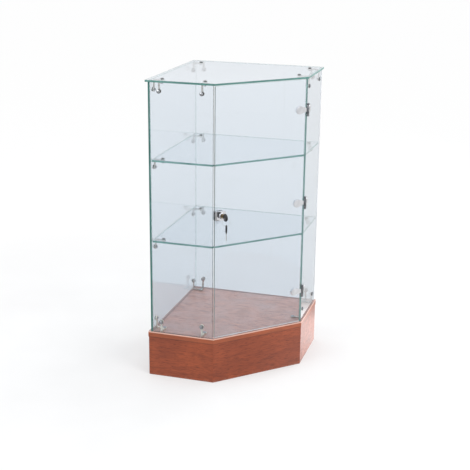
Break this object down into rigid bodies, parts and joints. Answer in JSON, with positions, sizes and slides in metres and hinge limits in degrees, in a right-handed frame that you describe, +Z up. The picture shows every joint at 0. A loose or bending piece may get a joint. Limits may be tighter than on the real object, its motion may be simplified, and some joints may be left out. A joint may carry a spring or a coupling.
{
  "type": "corner display case",
  "caption": "Five-sided glass corner case on a cherry laminate plinth, with glass shelves on metal brackets and a hinged, lockable glass door across the front corner.",
  "frame": {"origin": "on the floor, at the middle of the box that the case, its lock and its hanging keys fill; the middle of the 450 mm square footprint lies at (-2, 7) mm", "axes": "+Z up; the two back sides face -X and +Y, the short sides face -Y and +X, and the door faces between +X and -Y"},
  "size_m": [0.4542, 0.467, 0.9628],
  "materials": {
    "cherry_laminate": "satin wood-grain laminate",
    "clear_glass": "clear float glass with polished green edges",
    "bright_nickel": "bright nickel plate",
    "screw_steel": "zinc-plated",
    "washer_rubber": "matt",
    "chrome": "polished chrome plate",
    "brass": "turned, satin",
    "key_steel": "nickel-plated",
    "ring_steel": "polished",
    "black_plastic": "moulded, semi-gloss"
  },
  "bodies": {
    "case": {"base_bracket_back": "bright_nickel", "base_bracket_hinge_side": "bright_nickel", "base_bracket_left": "bright_nickel", "base_bracket_lock_side": "bright_nickel", "base_bracket_right": "bright_nickel", "base_screws": "screw_steel", "floor_board": "cherry_laminate", "hinge_pins": "screw_steel", "hinge_side_leaf_low": "chrome", "hinge_side_leaf_mid": "chrome", "hinge_side_leaf_top": "chrome", "hinge_side_pads": "chrome", "hinge_side_screws": "screw_steel", "lower_bracket_back": "bright_nickel", "lower_bracket_left": "bright_nickel", "lower_bracket_right": "bright_nickel", "lower_shelf": "clear_glass", "plinth_back_left": "cherry_laminate", "plinth_back_right": "cherry_laminate", "plinth_door_side": "cherry_laminate", "plinth_front_left": "cherry_laminate", "plinth_right": "cherry_laminate", "shelf_nuts": "screw_steel", "shelf_screws": "screw_steel", "top_bracket_back": "bright_nickel", "top_bracket_hinge_side": "bright_nickel", "top_bracket_left": "bright_nickel", "top_bracket_lock_side": "bright_nickel", "top_bracket_right": "bright_nickel", "top_glass": "clear_glass", "top_nuts": "screw_steel", "top_screws": "screw_steel", "upper_bracket_back": "bright_nickel", "upper_bracket_left": "bright_nickel", "upper_bracket_right": "bright_nickel", "upper_shelf": "clear_glass", "wall_back_left": "clear_glass", "wall_back_right": "clear_glass", "wall_front_left": "clear_glass", "wall_nuts": "screw_steel", "wall_right": "clear_glass", "wall_screws": "screw_steel", "wall_washers": "washer_rubber"},
    "door": {"door_glass": "clear_glass", "hinge_door_leaf_low": "chrome", "hinge_door_leaf_mid": "chrome", "hinge_door_leaf_top": "chrome", "hinge_door_pads": "chrome", "hinge_door_screws": "screw_steel", "lock_clamp": "chrome", "lock_cylinder": "chrome", "lock_set_screws": "screw_steel"},
    "lock_core": {"lock_plug": "brass", "lock_tongue": "chrome", "tongue_nut": "screw_steel"},
    "key": {"key_blade": "key_steel", "key_bow": "black_plastic"},
    "key_ring": {"key_ring": "ring_steel"},
    "spare_key": {"spare_key_blade": "key_steel", "spare_key_bow": "black_plastic"}
  },
  "joints": [
    {"name": "door_swing", "type": "hinge", "parent": "case", "child": "door", "pos_m": [0.223, 0.013, 0.555], "axis": [0, 0, 1], "range_deg": [0, 110]},
    {"name": "lock_turn", "type": "hinge", "parent": "door", "child": "lock_core", "pos_m": [0.00756, -0.19679, 0.555], "axis": [-0.7071, 0.7071, 0], "range_deg": [0, 90]},
    {"name": "key_slide", "type": "slide", "parent": "lock_core", "child": "key", "axis": [0.7071, -0.7071, 0], "range_m": [0, 0.02]},
    {"name": "ring_swing", "type": "hinge", "parent": "key", "child": "key_ring", "pos_m": [0.03372, -0.22295, 0.5542], "axis": [-0.9598, -0.2807, 0], "range_deg": [-15, 45]},
    {"name": "spare_swing", "type": "hinge", "parent": "key_ring", "child": "spare_key", "pos_m": [0.03372, -0.22295, 0.5292], "axis": [-0.9598, -0.2807, 0], "range_deg": [-15, 45]}
  ]
}
